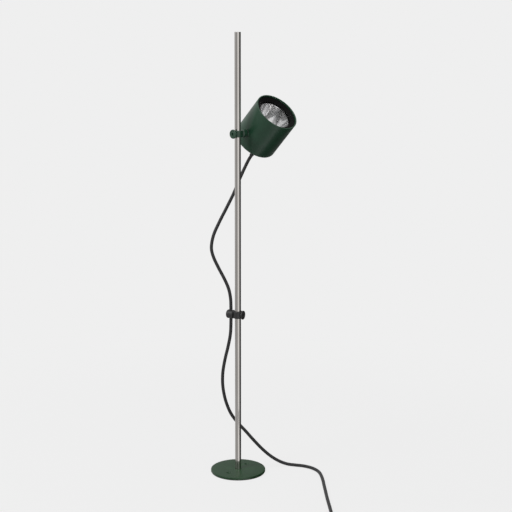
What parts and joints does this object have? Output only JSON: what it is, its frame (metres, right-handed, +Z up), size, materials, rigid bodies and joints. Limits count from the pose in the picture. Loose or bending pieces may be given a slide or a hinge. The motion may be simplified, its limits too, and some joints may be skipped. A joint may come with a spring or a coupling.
{
  "type": "adjustable floor lamp",
  "caption": "Slim floor lamp: a round screw-down base, a stainless rod, a cylindrical spot head on a sliding, swivelling, tilting clamp, a cable clip and a mains lead.",
  "frame": {"origin": "on the rod's axis, at the underside of the base pad, where the lamp rests on the floor", "axes": "+Z up along the rod; +X to the right and -Y to the front, where the spot faces up to the front right"},
  "size_m": [0.234, 0.4609, 0.8675],
  "materials": {
    "green_steel": "satin powder coat",
    "green_aluminium": "satin powder coat",
    "brushed_stainless": "brushed round the bar",
    "bright_steel": "bright zinc",
    "bare_aluminium": "as machined",
    "silver_mirror": "polished",
    "black_plastic": "fine moulded texture",
    "clear_glass": "clear",
    "black_rubber": "matt",
    "ceramic_white": "matt",
    "phosphor": "matt"
  },
  "bodies": {
    "root": {"base_plate": "green_steel", "base_pad": "black_rubber", "foot_screw": "bright_steel", "rod": "brushed_stainless", "cord_run": "black_rubber", "cord_coil": "black_rubber", "coil_tie": "black_rubber", "cord_tail": "black_rubber", "plug_strain_relief": "black_rubber", "plug_body": "black_plastic", "plug_pin_1": "bright_steel", "plug_pin_2": "bright_steel"},
    "head_carriage": {"clamp_liner": "black_plastic"},
    "clamp": {"clamp_body": "green_aluminium", "tilt_grub_screw": "bright_steel", "tilt_washer": "black_plastic"},
    "clamp_thumb_screw": {"clamp_knob": "green_aluminium"},
    "head": {"head_housing": "green_aluminium", "pivot_screw": "bright_steel", "pivot_washer": "bright_steel", "front_baffle": "black_plastic", "glass_gasket": "black_rubber", "front_glass": "clear_glass", "reflector": "silver_mirror", "heat_sink": "bare_aluminium", "sink_pillar_1": "bare_aluminium", "sink_pillar_2": "bare_aluminium", "sink_pillar_3": "bare_aluminium", "sink_screw_1": "bright_steel", "sink_screw_2": "bright_steel", "sink_screw_3": "bright_steel", "led_board": "ceramic_white", "led_chip": "phosphor", "led_driver": "black_plastic", "gland_body": "black_plastic", "gland_nut": "black_plastic", "head_strain_relief": "black_rubber"},
    "clip": {"clip_liner": "black_plastic", "clip_body": "black_plastic"},
    "clip_thumb_screw": {"clip_knob": "black_plastic"}
  },
  "joints": [
    {"name": "head_slide", "type": "slide", "parent": "root", "child": "head_carriage", "axis": [0, 0, 1], "range_m": [-0.05, 0.03], "deforming": ["cord_run"]},
    {"name": "head_swivel", "type": "hinge", "parent": "head_carriage", "child": "clamp", "pos_m": [0, 0, 0.676], "axis": [0, 0, 1], "range_deg": [-60, 60], "deforming": ["cord_run"]},
    {"name": "head_tilt", "type": "hinge", "parent": "clamp", "child": "head", "pos_m": [0.04639, 0.04639, 0.676], "axis": [0.7071, 0.7071, 0], "range_deg": [-45, 90], "deforming": ["cord_run"]},
    {"name": "clamp_knob_turn", "type": "hinge", "parent": "clamp", "child": "clamp_thumb_screw", "pos_m": [-0.00884, -0.00884, 0.676], "axis": [-0.7071, -0.7071, 0], "range_deg": [0, 360]},
    {"name": "clip_slide", "type": "slide", "parent": "root", "child": "clip", "axis": [0, 0, 1], "range_m": [-0.02, 0.02], "deforming": ["cord_run"]},
    {"name": "clip_knob_turn", "type": "hinge", "parent": "clip", "child": "clip_thumb_screw", "pos_m": [0.00996, -0.00443, 0.322], "axis": [0.9135, -0.4067, 0], "range_deg": [0, 360]}
  ]
}
